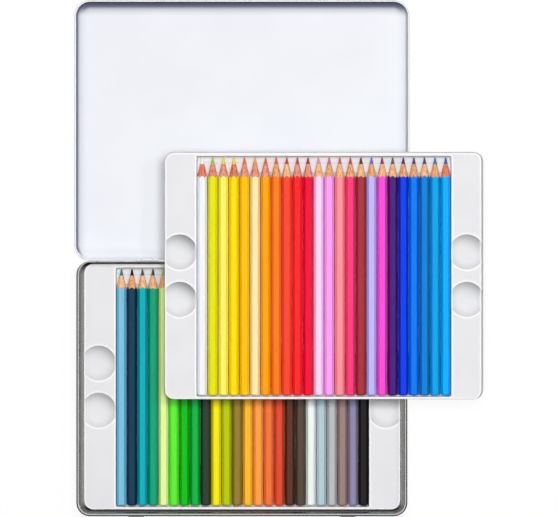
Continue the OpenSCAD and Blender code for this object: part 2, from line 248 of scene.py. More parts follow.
def tinplate_finish():
    """Bare tinplate with the fine lines of its rolling, and painted shade on the bead's edges and on the
    floor beside the bead.
    """
    finish = Finish("Tinplate", linear(188, 187, 185), 0.3, Metallic=1.0)
    lines = finish.noise(7, stretch=(40, 1, 1), detail=2)
    mottle = finish.noise(0.12, detail=3)
    plain = finish.ramp(mottle, (0.3, linear(196, 196, 195)), (0.7, linear(214, 213, 210)))
    rolled = finish.mix(finish.spread(lines, 0.0, 0.3), plain, linear(178, 177, 176))
    # Painted shade: the dark colour on the bead's edges and on the floor beside the bead
    finish.colour(finish.mix(finish.attribute("painted_fold_shade"), rolled, linear(44, 42, 40)))
    finish.roughness(mottle, 0.24, 0.32)
    finish.bump(lines, 0.0015)
    return finish.material


def enamel_finish():
    """White stoved enamel, with a faint orange peel, painted shade in its folds and a painted highlight
    along its hem.
    """
    colour = linear(233, 236, 243)
    finish = Finish("Lid enamel", colour, 0.36, Specular_IOR_Level=0.2)
    clouds = finish.noise(0.02, detail=2)
    panel = finish.ramp(clouds, (0.3, linear(230, 233, 240)), (0.7, linear(234, 237, 242)))
    # Painted shade in the folds by the walls and on the hem's outer side
    folded = finish.mix(finish.attribute("painted_fold_shade"), panel, linear(98, 100, 122))
    # A painted highlight along the top of the hem
    finish.colour(finish.mix(finish.attribute("lip"), folded, linear(252, 252, 253)))
    finish.roughness(finish.noise(0.3), 0.28, 0.42)
    finish.bump(finish.noise(0.8, detail=1), 0.008)
    return finish.material


def plastic_finish():
    """White thermoformed sheet with a fine grain and faint clouding, painted shade in its scoops, on its
    ridge crests and behind the points, and lighter rims that are partly the whitening of the stretched sheet
    and partly a painted highlight.
    """
    finish = Finish("Tray plastic", linear(236, 238, 241), 0.38, Specular_IOR_Level=0.3)
    clouds = finish.noise(0.04, detail=2)
    panel = finish.ramp(clouds, (0.3, linear(224, 225, 229)), (0.7, linear(228, 229, 232)))
    # Painted shade in the scoops, on the ridge crests and behind the points
    shaded = finish.mix(finish.attribute("painted_shade"), panel, linear(70, 70, 74))
    # Lighter rims: partly the whitening of the stretched sheet, partly a painted highlight
    finish.colour(finish.mix(finish.attribute("rim"), shaded, linear(247, 247, 249)))
    finish.roughness(finish.noise(0.5), 0.32, 0.46)
    finish.bump(finish.noise(2.2, detail=2), 0.01)
    return finish.material


def wire_finish():
    """Drawn steel wire."""
    finish = Finish("Hinge wire", linear(160, 162, 166), 0.32, Metallic=1.0)
    lines = finish.noise(9, stretch=(30, 1, 1), detail=2)
    finish.colour(finish.ramp(lines, (0.3, linear(132, 134, 138)), (0.7, linear(178, 180, 184))))
    finish.roughness(lines, 0.25, 0.42)
    finish.bump(lines, 0.01)
    return finish.material


tinplate = tinplate_finish()
enamel = enamel_finish()
plastic = plastic_finish()
wire = wire_finish()
WOODS = {
    "red": wood_finish("Wood red", (244, 158, 122), (226, 116, 88), (158, 62, 46)),
    "pink": wood_finish("Wood pink", (250, 184, 160), (232, 136, 116), (172, 82, 68)),
    "tan": wood_finish("Wood tan", (254, 206, 152), (232, 152, 102), (172, 94, 56)),
    "pale": wood_finish("Wood pale", (255, 222, 170), (246, 174, 122), (190, 112, 70)),
}


# Mesh tools

def new_object(name, bm):
    """An object in the scene, with a mesh that was made in millimetres."""
    mesh = bpy.data.meshes.new(name)
    bm.to_mesh(mesh)
    bm.free()
    mesh.transform(Matrix.Scale(MM, 4))
    return add_object(name, mesh)


def shade_evenly(piece, sharp=38.0):
    """Shades a piece by the size of its faces, with edges above the angle kept sharp."""
    piece.data.set_sharp_from_angle(angle=math.radians(sharp))
    piece.modifiers.new("Even shading", "WEIGHTED_NORMAL").keep_sharp = True


def build(name, bm, material, body, replaces=(), sharp=38.0):
    """Turns a mesh made in millimetres into a named piece that rides on a body."""
    bmesh.ops.recalc_face_normals(bm, faces=bm.faces)
    piece = new_object(name, bm)
    piece.data.shade_smooth()
    piece.data.materials.append(material)
    shade_evenly(piece, sharp)
    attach(piece, body)
    if replaces:
        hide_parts(*replaces)
    return piece


def loft(bm, rings):
    """Skins a row of rings, each a list of points, and closes its ends."""
    loops = [[bm.verts.new(point) for point in ring] for ring in rings]
    for near, far in zip(loops, loops[1:]):
        for i in range(len(near)):
            bm.faces.new((near[i - 1], near[i], far[i], far[i - 1]))
    bm.faces.new(loops[0])
    bm.faces.new(loops[-1])
    return loops


# Pencils

# The sharpened cone's rise, from half its angle in degrees
CONE_SLOPE = math.tan(math.radians(13.0))
LEAD_R = 1.45
TIP_R = 0.3
DIP_LENGTH = 1.6
DIP_SQUARENESS = 0.5
# Share of the barrel's thickness by which the wood lies below the paint
PAINT_STEP = 0.06
# How far the cone's axis may lie off the pencil's
SHARPENER_LEAN = 0.11
EDGE_R_BARREL = 0.4
# Depth of the scallops at the paint's edge, as a share of the wood's own: least and most
SCALLOP = (0.35, 0.8)
# The hidden end of the barrel, and that of the wood: scale, and distance behind the paint's edge
BARREL_TUCK = (0.90, 0.3)
WOOD_TUCK = (0.88, 0.6)
# Width of the painted shade along the barrel's side edges, where the gap beside a neighbour falls dark
GAP_SHADE_WIDTH = 0.3
FLAT_STEPS = 4
CORNER_STEPS = 4


def cone_depth(radius):
    """How far behind the tip the sharpened cone reaches a radius."""
    return (radius - TIP_R) / CONE_SLOPE


def pencil_section(flats):
    """Outline of a six-sided pencil with rounded edges, as (x, z) from its axis."""
    centre_r = (flats / 2 - EDGE_R_BARREL) / math.cos(math.radians(30))

    def on_edge(corner, share):
        return polar(EDGE_R_BARREL, 60 * corner - 30 + 60 * share, polar(centre_r, 60 * corner))

    points = []
    for corner in range(6):
        points += [on_edge(corner, step / CORNER_STEPS) for step in range(CORNER_STEPS + 1)]
        x0, z0 = points[-1]
        x1, z1 = on_edge(corner + 1, 0)
        for step in range(1, FLAT_STEPS):
            share = step / FLAT_STEPS
            points.append((x0 + (x1 - x0) * share, z0 + (z1 - z0) * share))
    return points


def make_pencil(node, ink, lead_ink, wood, slot, rng):
    """A sharpened pencil: the lacquered barrel, the bare wood and the lead."""
    low, high = box_mm(node)
    axis_x = (low.x + high.x) / 2
    axis_z = (low.z + high.z) / 2
    length = high.y - low.y
    outline = pencil_section(high.z - low.z)
    widest = max(x for x, z in outline)
    lean_x = rng.uniform(-SHARPENER_LEAN, SHARPENER_LEAN)
    lean_z = rng.uniform(-SHARPENER_LEAN, SHARPENER_LEAN)
    cut_edge = [cone_depth(math.hypot(x - lean_x, z - lean_z)) for x, z in outline]
    shoulder = min(cut_edge)
    level = sum(cut_edge) / len(cut_edge)
    scallop = rng.uniform(*SCALLOP)
    paint_edge = [level + (depth - level) * scallop for depth in cut_edge]

    def at(x, z, depth):
        return Vector((axis_x + x, high.y - depth, axis_z + z))

    def scaled(scale, depths):
        return [at(x * scale, z * scale, depth) for (x, z), depth in zip(outline, depths)]

    def straight(scale, depth):
        return scaled(scale, [depth] * len(outline))

    def cone(radius, depth):
        off = depth / shoulder
        ring = []
        for x, z in outline:
            reach = math.hypot(x, z)
            ring.append(at(lean_x * off + x / reach * radius, lean_z * off + z / reach * radius, depth))
        return ring

    def tucked(scale, behind):
        return scaled(scale, [depth + behind for depth in paint_edge])

    barrel = [
        tucked(*BARREL_TUCK),
        scaled(1 - PAINT_STEP / 4, [depth - 0.01 for depth in paint_edge]),
        tucked(1.0, 0.1),
        straight(1.0, shoulder + 4),
        straight(1.0, length / 2),
        straight(1.0, length - DIP_LENGTH),
    ]
    for turn in (15, 30, 45, 58, 70, 80, 86):
        out, along = polar(1.0, turn)
        barrel.append(straight(out ** DIP_SQUARENESS, length - DIP_LENGTH * (1 - along)))
    bm = bmesh.new()
    gap_shade_layer = bm.verts.layers.float.new("gap")
    # The barrel's side edges take painted shade, for the dark gap beside a neighbour
    for ring in loft(bm, barrel)[2:]:
        for vert, (x, z) in zip(ring, outline):
            vert[gap_shade_layer] = ease((abs(x) - widest) / GAP_SHADE_WIDTH + 1)
    build(node + "_barrel", bm, lacquer_finish(slot, ink), node, replaces=(node,))

    wood_start = cone_depth(LEAD_R)
    casing = [tucked(*WOOD_TUCK), tucked(1 - PAINT_STEP / 3, 0.0)]
    for share in (0.03, 0.2, 0.4, 0.6, 0.8, 0.93, 1.0):
        depth = shoulder + (wood_start - shoulder) * share
        casing.append(cone(TIP_R + depth * CONE_SLOPE - 0.01, depth))
    casing.append(cone(LEAD_R - 0.12, wood_start + 0.25))
    bm = bmesh.new()
    loft(bm, casing)
    build(node + "_wood", bm, WOODS[wood], node)

    point = [cone(LEAD_R - 0.1, wood_start + 0.3), cone(LEAD_R - 0.03, wood_start + 0.05)]
    for depth in (4.2, 3.2, 2.2, 1.3, 0.7):
        point.append(cone(TIP_R + depth * CONE_SLOPE, depth))
    for turn in (20, 45, 65, 80):
        out, along = polar(1.0, turn)
        point.append(cone(1.35 * TIP_R * out, 0.4 * (1 - along)))
    bm = bmesh.new()
    loft(bm, point)
    build(node + "_lead", bm, lead_finish(slot + "_lead", lead_ink), node)


# Colours as they look on the top face: barrel, lead and kind of wood
UPPER_PENCILS = [
    ("white", (240, 243, 252), (247, 245, 244), "red"),
    ("lemon", (230, 227, 4), (150, 204, 24), "pink"),
    ("light_yellow", (254, 240, 98), (236, 224, 30), "pink"),
    ("yellow", (254, 222, 3), (244, 220, 30), "red"),
    ("golden_yellow", (255, 196, 1), (222, 112, 40), "pink"),
    ("cream", (253, 232, 172), (232, 158, 60), "pink"),
    ("light_orange", (255, 163, 4), (214, 104, 46), "pink"),
    ("orange", (254, 124, 28), (222, 92, 66), "tan"),
    ("vermilion", (252, 70, 50), (204, 56, 56), "pale"),
    ("red", (252, 36, 42), (188, 62, 66), "pink"),
    ("crimson", (240, 3, 56), (172, 34, 48), "pink"),
    ("light_pink", (250, 210, 250), (232, 140, 180), "pale"),
    ("orchid_pink", (253, 160, 243), (214, 98, 156), "tan"),
    ("salmon", (253, 145, 152), (202, 86, 110), "pale"),
    ("raspberry", (248, 58, 124), (188, 70, 96), "tan"),
    ("maroon", (164, 46, 54), (84, 54, 56), "pale"),
    ("lavender", (190, 181, 252), (112, 98, 206), "tan"),
    ("magenta", (252, 76, 212), (140, 40, 106), "pale"),
    ("violet", (68, 18, 116), (84, 84, 124), "pale"),
    ("ultramarine", (3, 58, 226), (44, 56, 120), "tan"),
    ("blue", (5, 118, 238), (48, 66, 142), "tan"),
    ("cerulean", (6, 124, 208), (30, 66, 140), "pale"),
    ("azure", (4, 160, 229), (44, 112, 182), "tan"),
    ("sky_blue", (5, 172, 247), (28, 98, 178), "red"),
]
LOWER_PENCILS = [
    ("light_blue", (118, 194, 226), (40, 128, 150), "pale"),
    ("navy", (3, 50, 78), (20, 24, 34), "tan"),
    ("turquoise", (5, 172, 184), (30, 88, 104), "pale"),
    ("sea_green", (3, 161, 122), (44, 78, 82), "pale"),
    ("pale_green", (228, 250, 160), (150, 200, 90), "pale"),
    ("bright_green", (92, 238, 50), (60, 160, 50), "tan"),
    ("leaf_green", (4, 186, 14), (20, 120, 40), "pale"),
    ("green", (5, 176, 60), (10, 100, 50), "pale"),
    ("black_green", (30, 53, 42), (20, 40, 34), "tan"),
    ("strong_yellow", (248, 231, 4), (240, 210, 20), "pale"),
    ("olive_lime", (182, 198, 5), (150, 150, 20), "tan"),
    ("olive_brown", (146, 121, 44), (100, 84, 30), "pale"),
    ("amber", (250, 187, 42), (220, 150, 30), "tan"),
    ("deep_orange", (250, 160, 70), (220, 110, 40), "pale"),
    ("coral", (238, 117, 57), (200, 70, 40), "pale"),
    ("brick_red", (220, 74, 46), (160, 40, 30), "tan"),
    ("brown", (86, 44, 28), (70, 36, 22), "pale"),
    ("dark_brown", (80, 66, 52), (50, 38, 28), "pale"),
    ("mint_white", (237, 246, 245), (236, 240, 240), "tan"),
    ("blue_grey", (180, 202, 212), (150, 168, 182), "pale"),
    ("grey", (184, 187, 192), (130, 134, 140), "tan"),
    ("mauve_brown", (154, 126, 121), (120, 92, 90), "pale"),
    ("purple_grey", (140, 133, 167), (90, 82, 110), "pale"),
    ("black", (12, 11, 11), (18, 18, 20), "tan"),
]

rng = random.Random(48)
pencil_nodes = {"upper": [], "lower": []}
for tray, pencils in (("upper", UPPER_PENCILS), ("lower", LOWER_PENCILS)):
    for number, (colour_name, ink, lead_ink, wood) in enumerate(pencils, start=1):
        node = f"{tray}_pencil_{number:02d}_{colour_name}"
        slot = f"{tray}_paint_{number:02d}_{colour_name}"
        make_pencil(node, ink, lead_ink, wood, slot, rng)
        pencil_nodes[tray].append(node)


# Trays

SHEET = 0.7
CHANNEL_FLOOR = 0.7
GROOVE_FLOOR = 1.8
RIDGE_TOP = 2.3
RIDGE_FOOT = 1.55
RIDGE_CREST = 0.22
RECESS_SIDE_GAP = 0.35
RECESS_END_GAP = 0.85
RECESS_CORNER = 1.5
TRAY_CORNER = 7.2
EDGE_R = 0.8
SKIRT_LIFT = 0.4
RIM_WIDTH = 1.2
RIM_BLEND = 0.7
SCOOP_R = 13.1
SCOOP_DEPTH = 4.5
SCOOP_SHAPE = 4
SCOOP_LIP = 0.5
SCOOP_FROM_EDGE = 10.9
SCOOP_SPACING = 34.8
# How much painted shade the plastic takes in the scoops, on the ridge crests and behind the points. The
# slopes have one value left and one right
SCOOP_FLOOR_SHADE = 0.04
SCOOP_SLOPE_SHADE = {"upper_tray": (0.58, 0.4), "lower_tray": (0.32, 0.32)}
RECESS_SHADE = 0.1
RIDGE_SHADE = 0.3
# The way in which the painted shade on the scoops' slopes grows: right and rear
SLOPE_SHADE_WAY = (0.45, 0.9)
# How far the top edge lies inside the skirt's foot: left, right, front and rear
DRAFTS = {"upper_tray": (0.4, 1.6, 0.3, 0.7), "lower_tray": (0.25, 0.6, 0.2, 0.3)}
# Distances behind the points: the bar under the cones, the long ridged bed and the short one
BAR = (4.0, 11.4)
LONG_BED = (26.0, 146.0)
SHORT_BED = (167.0, 175.85)
BAR_SLOPE = 0.6
RIDGE_RUN_OUT = 1.6
# Drop of the recess wall by the distance outside the recess
WALL_FALL = (
    (-0.8, 1.0), (-0.5, 0.985), (-0.3, 0.95), (-0.2, 0.9), (0.0, 0.11),
    (0.07, 0.07), (0.26, 0.03), (0.55, 0.008), (0.9, 0.0), (1.7, 0.0),
)
# Spacing of the grid's lines on the panels, and how often an edge near a scoop is cut
SIDE_STEP = 2.7
FINE_CUTS = 2


class TrayShape:
    """The form of a thermoformed tray: x and y are taken from its middle and z from its underside."""

    def __init__(self, node, first_pencil, second_pencil, last_pencil):
        low, high = box_mm(node)
        self.middle = (low + high) / 2
        self.base_z = low.z
        self.slope_shades = SCOOP_SLOPE_SHADE[node]
        self.half_w = (high.x - low.x) / 2
        self.half_d = (high.y - low.y) / 2
        left, right, front, rear = DRAFTS[node]
        self.left = left - self.half_w
        self.right = self.half_w - right
        self.front = front - self.half_d
        self.rear = self.half_d - rear
        self.height = high.z - low.z
        first_low, first_high = box_mm(first_pencil)
        second_low, _ = box_mm(second_pencil)
        _, last_high = box_mm(last_pencil)
        self.pitch = second_low.x - first_low.x
        self.recess_half_w = (last_high.x - first_low.x) / 2 + RECESS_SIDE_GAP
        self.tip_y = first_high.y - self.middle.y
        blunt_y = first_low.y - self.middle.y
        self.recess_half_d = (self.tip_y - blunt_y) / 2 + RECESS_END_GAP
        self.recess_y = (self.tip_y + blunt_y) / 2
        count = round((last_high.x - first_high.x) / self.pitch)
        self.ridge_xs = [(i - count / 2 + 0.5) * self.pitch for i in range(count)]
        self.beds = [(self.tip_y - far, self.tip_y - near) for near, far in (LONG_BED, SHORT_BED)]
        self.bars = self.beds + [(self.tip_y - BAR[1], self.tip_y - BAR[0])]

    def inset(self, u, v):
        """Distance inside the outline of the top face."""
        return min(u - self.left, self.right - u, v - self.front, self.rear - v)

    def outside_recess(self, x, y):
        """Distance outside the rounded outline of the recess, negative inside."""
        qx = abs(x) - self.recess_half_w + RECESS_CORNER
        qy = abs(y - self.recess_y) - self.recess_half_d + RECESS_CORNER
        return math.hypot(max(qx, 0), max(qy, 0)) + min(max(qx, qy), 0) - RECESS_CORNER

    def floor(self, x, y, under):
        """Height of the recess's floor, with its bars and ridges. under is 0 on the top face."""
        z = CHANNEL_FLOOR - under
        for near, far in self.bars:
            raised = ease((y - near - under) / BAR_SLOPE + 0.5) * ease((far - under - y) / BAR_SLOPE + 0.5)
            z = max(z, CHANNEL_FLOOR - under + (GROOVE_FLOOR - CHANNEL_FLOOR) * raised)
        if under:
            return z
        nearest = min(abs(x - ridge) for ridge in self.ridge_xs)
        slant = clamp((RIDGE_FOOT - nearest) / (RIDGE_FOOT - RIDGE_CREST))
        ridge = RIDGE_TOP * (slant * 0.85 + ease(slant) * 0.15)
        for near, far in self.beds:
            z += ridge * ease((y - near) / RIDGE_RUN_OUT) * ease((far - y) / RIDGE_RUN_OUT)
        return z

    def scoop_offset(self, x, y):
        """Distances to the right and to the rear from the middle of the nearest finger scoop."""
        middle_x = self.right - SCOOP_FROM_EDGE if x > 0 else self.left + SCOOP_FROM_EDGE
        return x - middle_x, y - math.copysign(SCOOP_SPACING / 2, y)

    def from_scoop(self, x, y):
        return math.hypot(*self.scoop_offset(x, y))

    def scoop(self, x, y, under):
        """Depth of the finger scoops below the panel: a nearly flat dish with steep sides."""
        away = self.from_scoop(x, y) / (SCOOP_R + under / 2)
        if away > 1.15:
            return 0.0
        return soft_max(0, SCOOP_DEPTH * (1 - away ** SCOOP_SHAPE), SCOOP_LIP)

    def rim(self, u, v):
        """1 on the rims that stand around the sheet, the recess and the scoops, and 0 on the panels. There
        the plastic is lighter: partly the whitening of the stretched sheet, partly a painted highlight.
        """
        inset = self.inset(u, v)
        away = self.outside_recess(u, v)
        lip = self.from_scoop(u, v) - SCOOP_R
        return max(
            ease((RIM_WIDTH - inset) / RIM_BLEND + 0.5) * ease(inset / 0.3),
            ease((RIM_WIDTH - away) / RIM_BLEND + 0.5) * (away > -0.2),
            ease((RIM_WIDTH - 0.3 - lip) / RIM_BLEND + 0.5) * ease(lip / 0.4 + 1),
        )

    def painted_shade(self, u, v):
        """How much painted shade a place takes: ridge crests, the floor behind the points and the scoops'
        far slopes.
        """
        nearest = min(abs(u - ridge) for ridge in self.ridge_xs)
        inside = max(ease(v - near) * ease(far - v) for near, far in self.beds)
        behind_points = (self.outside_recess(u, v) < -0.1) * ease((v - self.tip_y + 16) / 6)
        right, back = self.scoop_offset(u, v)
        facing = (SLOPE_SHADE_WAY[1] * back + SLOPE_SHADE_WAY[0] * right) / SCOOP_R
        slope = 0.0
        if self.from_scoop(u, v) < SCOOP_R:
            slope = SCOOP_FLOOR_SHADE + self.slope_shades[u > 0] * max(facing, 0) ** 1.5
        return max(RIDGE_SHADE * ease(1.4 - nearest) * inside, RECESS_SHADE * behind_points, slope)

    def surface(self, u, v, under=0.0):
        """The point for a place on the grid. under is 0 on the top face, or else the sheet's thickness."""
        x = self.shift(u, self.left, self.right, 0.0, self.recess_half_w, under)
        y = self.shift(v, self.front, self.rear, self.recess_y, self.recess_half_d, under)
        edge = max(EDGE_R - self.inset(u, v), 0)
        fall = EDGE_R - math.sqrt(max(EDGE_R ** 2 - edge ** 2, 0))
        away = self.outside_recess(x, y) - under
        level = self.height - under
        drop = soft_max(
            (level - self.floor(x, y, under)) * read_table(WALL_FALL, away),
            self.scoop(x, y, under),
            0.5,
        )
        x, y = self.round_corner(x, y)
        return Vector((x, y, level - drop - fall * (1 - 0.6 * bool(under))))

    def shift(self, place, first, last, recess_middle, recess_half, under):
        """Moves a place so that the underside runs a sheet's thickness outside the top face's walls."""
        if not under:
            return place
        from_edge = last - place if place > 0 else place - first
        place -= math.copysign(under, place) * (1 - ease(from_edge / 1.8))
        off = place - recess_middle
        by_wall = 1 - ease(abs(abs(off) - recess_half) / 2.4)
        return place + math.copysign(under, off) * by_wall * (from_edge > 1.8)

    def corner(self, x, y):
        """For a place in a corner of the outline: the corner's centre, the top face's reach from it, and
        the ring and angle to which the place belongs."""
        centre_x = math.copysign(self.half_w - TRAY_CORNER, x)
        centre_y = math.copysign(self.half_d - TRAY_CORNER, y)
        reach_x = (self.right if centre_x > 0 else self.left) - centre_x
        reach_y = (self.rear if centre_y > 0 else self.front) - centre_y
        u = (x - centre_x) / reach_x
        v = (y - centre_y) / reach_y
        if u <= 0 or v <= 0:
            return None
        turn = math.pi / 4 * (v / u if u >= v else 2 - u / v)
        return (centre_x, centre_y), (reach_x, reach_y), max(u, v), turn

    def round_corner(self, x, y):
        """Turns the square rings around a corner's centre into arcs."""
        found = self.corner(x, y)
        if found is None:
            return x, y
        centre, reach, ring, turn = found
        return centre[0] + reach[0] * ring * math.cos(turn), centre[1] + reach[1] * ring * math.sin(turn)

    def foot(self, u, v, inside):
        """The place on the skirt's foot below a point of the outline, moved inside by a thickness."""
        found = self.corner(u, v)
        if found is not None:
            centre, reach, ring, turn = found
            radius = TRAY_CORNER - inside
            return (
                centre[0] + math.copysign(radius, reach[0]) * math.cos(turn),
                centre[1] + math.copysign(radius, reach[1]) * math.sin(turn),
            )
        if min(u - self.left, self.right - u) < min(v - self.front, self.rear - v):
            return math.copysign(self.half_w - inside, u), v
        return u, math.copysign(self.half_d - inside, v)

    def border(self):
        """Distances inside the outline at which the grid has lines."""
        rounding = [EDGE_R * (1 - math.sin(math.radians(15 * step))) for step in range(7)]
        return rounding + [RIM_WIDTH - RIM_BLEND / 2, RIM_WIDTH, RIM_WIDTH + RIM_BLEND / 2]

    def across(self):
        """Places of the grid's lines along x."""
        places = {0.0}
        for inset in self.border():
            places.update((self.left + inset, self.right - inset))
        half = [self.recess_half_w + away for away, _ in WALL_FALL]
        half += steps(self.recess_half_w + WALL_FALL[-1][0], self.half_w - EDGE_R - RIM_WIDTH, SIDE_STEP)
        half.append(self.half_w - TRAY_CORNER)
        for ridge in self.ridge_xs:
            for off in (RIDGE_FOOT + 0.1, RIDGE_FOOT - 0.2, RIDGE_CREST + 0.2, RIDGE_CREST - 0.1):
                places.update((ridge - off, ridge + off))
            places.update((ridge, ridge + self.pitch / 2))
        places.update(half)
        places.update(-place for place in half)
        return tidy(places)

    def along(self):
        """Places of the grid's lines along y."""
        places = set()
        for inset in self.border():
            places.update((self.front + inset, self.rear - inset))
        for side in (-1, 1):
            places.add(side * (self.half_d - TRAY_CORNER))
            places.update(self.recess_y + side * (self.recess_half_d + away) for away, _ in WALL_FALL)
        for near, far in self.bars:
            for off in (-0.35, -0.15, 0.0, 0.15, 0.35):
                places.update((near + off, far + off))
        for near, far in self.beds:
            for share in (0.5, 0.75, 1.0):
                places.update((near + share * RIDGE_RUN_OUT, far - share * RIDGE_RUN_OUT))
        reach = SCOOP_SPACING / 2 + SCOOP_R + 1.5
        places.update(steps(-reach, reach, SIDE_STEP))
        places.update(steps(self.front + EDGE_R, self.rear - EDGE_R, 9.0))
        return tidy(place for place in places if self.front <= place <= self.rear)


def steps(low, high, step):
    """Even places from low to high, about a step apart."""
    count = max(round((high - low) / step), 1)
    return [low + (high - low) * i / count for i in range(count + 1)]


def tidy(places, least=0.02):
    """Sorted places with those dropped that lie closer than the least distance to the one before."""
    kept = []
    for place in sorted(places):
        if not kept or place - kept[-1] > least:
            kept.append(place)
    return kept


def make_tray(name, material, shape):
    """A closed mesh of a tray: a grid for both faces, finer at the scoops, and a skirt."""
    bm = bmesh.new()
    rim_highlight_layer = bm.verts.layers.float.new("rim")
    painted_shade_layer = bm.verts.layers.float.new("painted_shade")
    xs = shape.across()
    ys = shape.along()
    grid = [[bm.verts.new((x, y, 0)) for x in xs] for y in ys]
    for row, following in zip(grid, grid[1:]):
        for i in range(len(xs) - 1):
            bm.faces.new((row[i], row[i + 1], following[i + 1], following[i]))

    def near_scoop(edge, low, high):
        middle = (edge.verts[0].co + edge.verts[1].co) / 2
        if abs(middle.x) < shape.recess_half_w + WALL_FALL[0][0]:
            return False
        return low < shape.from_scoop(middle.x, middle.y) < high and edge.calc_length() > 0.5

    for low, high in ((-1.0, SCOOP_R + 2.0), (SCOOP_R - 1.6, SCOOP_R + 1.1)):
        chosen = [edge for edge in bm.edges if near_scoop(edge, low, high)]
        bmesh.ops.subdivide_edges(bm, edges=chosen, cuts=FINE_CUTS, use_grid_fill=True)

    top_verts = list(bm.verts)
    places = [(vert.co.x, vert.co.y) for vert in top_verts]
    bm.verts.index_update()
    faces = [[vert.index for vert in face.verts] for face in bm.faces]
    rim = [edge.verts[:] for edge in bm.edges if edge.is_boundary]
    under_verts = [bm.verts.new(shape.surface(u, v, SHEET)) for u, v in places]
    for vert, (u, v) in zip(top_verts, places):
        vert.co = shape.surface(u, v)
        # The rims take a lighter tone, partly the whitening of the stretched sheet and partly a painted
        # highlight
        vert[rim_highlight_layer] = shape.rim(u, v)
        # The ridge crests, the floor behind the points and the scoops' far slopes take painted shade
        vert[painted_shade_layer] = shape.painted_shade(u, v)
    for face in faces:
        bm.faces.new([under_verts[i] for i in reversed(face)])

    foot_outer = {}
    foot_inner = {}
    for ends in rim:
        for vert in ends:
            if vert in foot_outer:
                continue
            place = places[vert.index]
            foot_outer[vert] = bm.verts.new((*shape.foot(*place, 0.0), SKIRT_LIFT))
            foot_inner[vert] = bm.verts.new((*shape.foot(*place, SHEET), SKIRT_LIFT))
    for one, other in rim:
        inner_one = under_verts[one.index]
        inner_other = under_verts[other.index]
        bm.faces.new((one, other, foot_outer[other], foot_outer[one]))
        bm.faces.new((foot_outer[one], foot_outer[other], foot_inner[other], foot_inner[one]))
        bm.faces.new((foot_inner[one], foot_inner[other], inner_other, inner_one))
    bmesh.ops.translate(bm, verts=bm.verts, vec=(shape.middle.x, shape.middle.y, shape.base_z))
    build(name + "_sheet", bm, material, name, replaces=(name,), sharp=60)


for tray in ("upper", "lower"):
    row = pencil_nodes[tray]
    make_tray(f"{tray}_tray", plastic, TrayShape(f"{tray}_tray", row[0], row[1], row[-1]))


# Tin

TIN_SHEET = 0.3
BASE_CORNER = 10.0
BASE_BEND = 2.6
RIM_BEAD_R = 1.4
REAR_BEAD_R = 0.45
LID_CORNER = 11.2
LID_BEND = 3.4
HEM_OUT = 0.45
HEM_IN = 0.3
HEM_HEIGHT = 2.2
# How much painted shade the enamel takes in its folds, where the walls keep the light off, by the distance
# inside the lid's wall
FAR_FOLD_SHADE = ((0.3, 1.0), (3.6, 1.0), (5.0, 0.5), (6.5, 0.25), (8.5, 0.08), (10.3, 0.0))
SIDE_FOLD_SHADE = ((0.3, 0.85), (1.6, 0.85), (2.3, 0.35), (3.6, 0.2), (6.0, 0.07), (8.0, 0.0))
# The share of it on the right, where the light comes from the side
RIGHT_SHARE = 0.4
NEAR_FOLD_SHADE = ((1.5, 0.0), (2.7, 0.12), (6.0, 0.1), (10.3, 0.0))
# Painted shade on the outer side of the lid's hem
OUTSIDE_SHADE = 0.6
# Painted shade for the tin, where its bead keeps the light off the floor beside it
TIN_REAR_SHADE = ((1.0, 0.75), (4.2, 0.7), (4.7, 0.2), (8.0, 0.1))
TIN_SIDE_SHADE = ((1.0, 0.5), (2.9, 0.5), (3.6, 0.0))
TIN_FRONT_SHADE = ((1.0, 0.6), (2.9, 0.6), (3.6, 1.0), (6.0, 1.0))
# Painted shade on the bead's edges, by the distance from its outer side
BEAD_SHADE = ((0.0, 0.85), (0.6, 0.8), (1.0, 0.0), (2.2, 0.0), (2.7, 0.4))
# The beads pressed into a wall on both sides of its middle
BASE_LATCH = dict(middle_x=77.85, length=13.5, section_r=2.0, out=0.75, drop=5.0)
LID_LATCH = dict(middle_x=77.85, length=13.5, section_r=1.5, out=0.45, drop=4.0)
LID_PIP = dict(middle_x=89.85, length=3.8, section_r=1.9, out=1.0, drop=5.0)
HINGE_X = 69.853
KNUCKLE_R = 1.0
PIN_HOLE_R = 0.62
BASE_KNUCKLE_HALF = 4.0
KNUCKLE_GAP = 0.3
HINGE_HALF = 8.3
SLIT = 0.8
NOTCH_DROP = 1.5
ARC_STEPS = 14
# Start and sweep in degrees of the sheet curled around the hinge wire
BASE_CURL = (-90, 330)
LID_CURL = (-80, 335)
CURL_CHAMFER = 0.08
CURL_STEPS = 28


def arc(centre_inset, centre_z, radius, start, end, count):
    """Points (inset, z) on an arc. At 0 degrees a point lies outermost and at 90 highest."""
    places = [polar(radius, start + (end - start) * step / count) for step in range(count + 1)]
    return [(centre_inset - out, centre_z + up) for out, up in places]


def wall(inset, low, high, *marks):
    """Points up or down a wall, with close steps where a bead is pressed into it."""
    places = {low, high}
    for mark in marks:
        places.update(mark + 0.35 * step for step in range(-7, 8))
    kept = tidy([place for place in places if min(low, high) <= place <= max(low, high)], least=0.12)
    if low > high:
        kept.reverse()
    return [(inset, place) for place in kept]


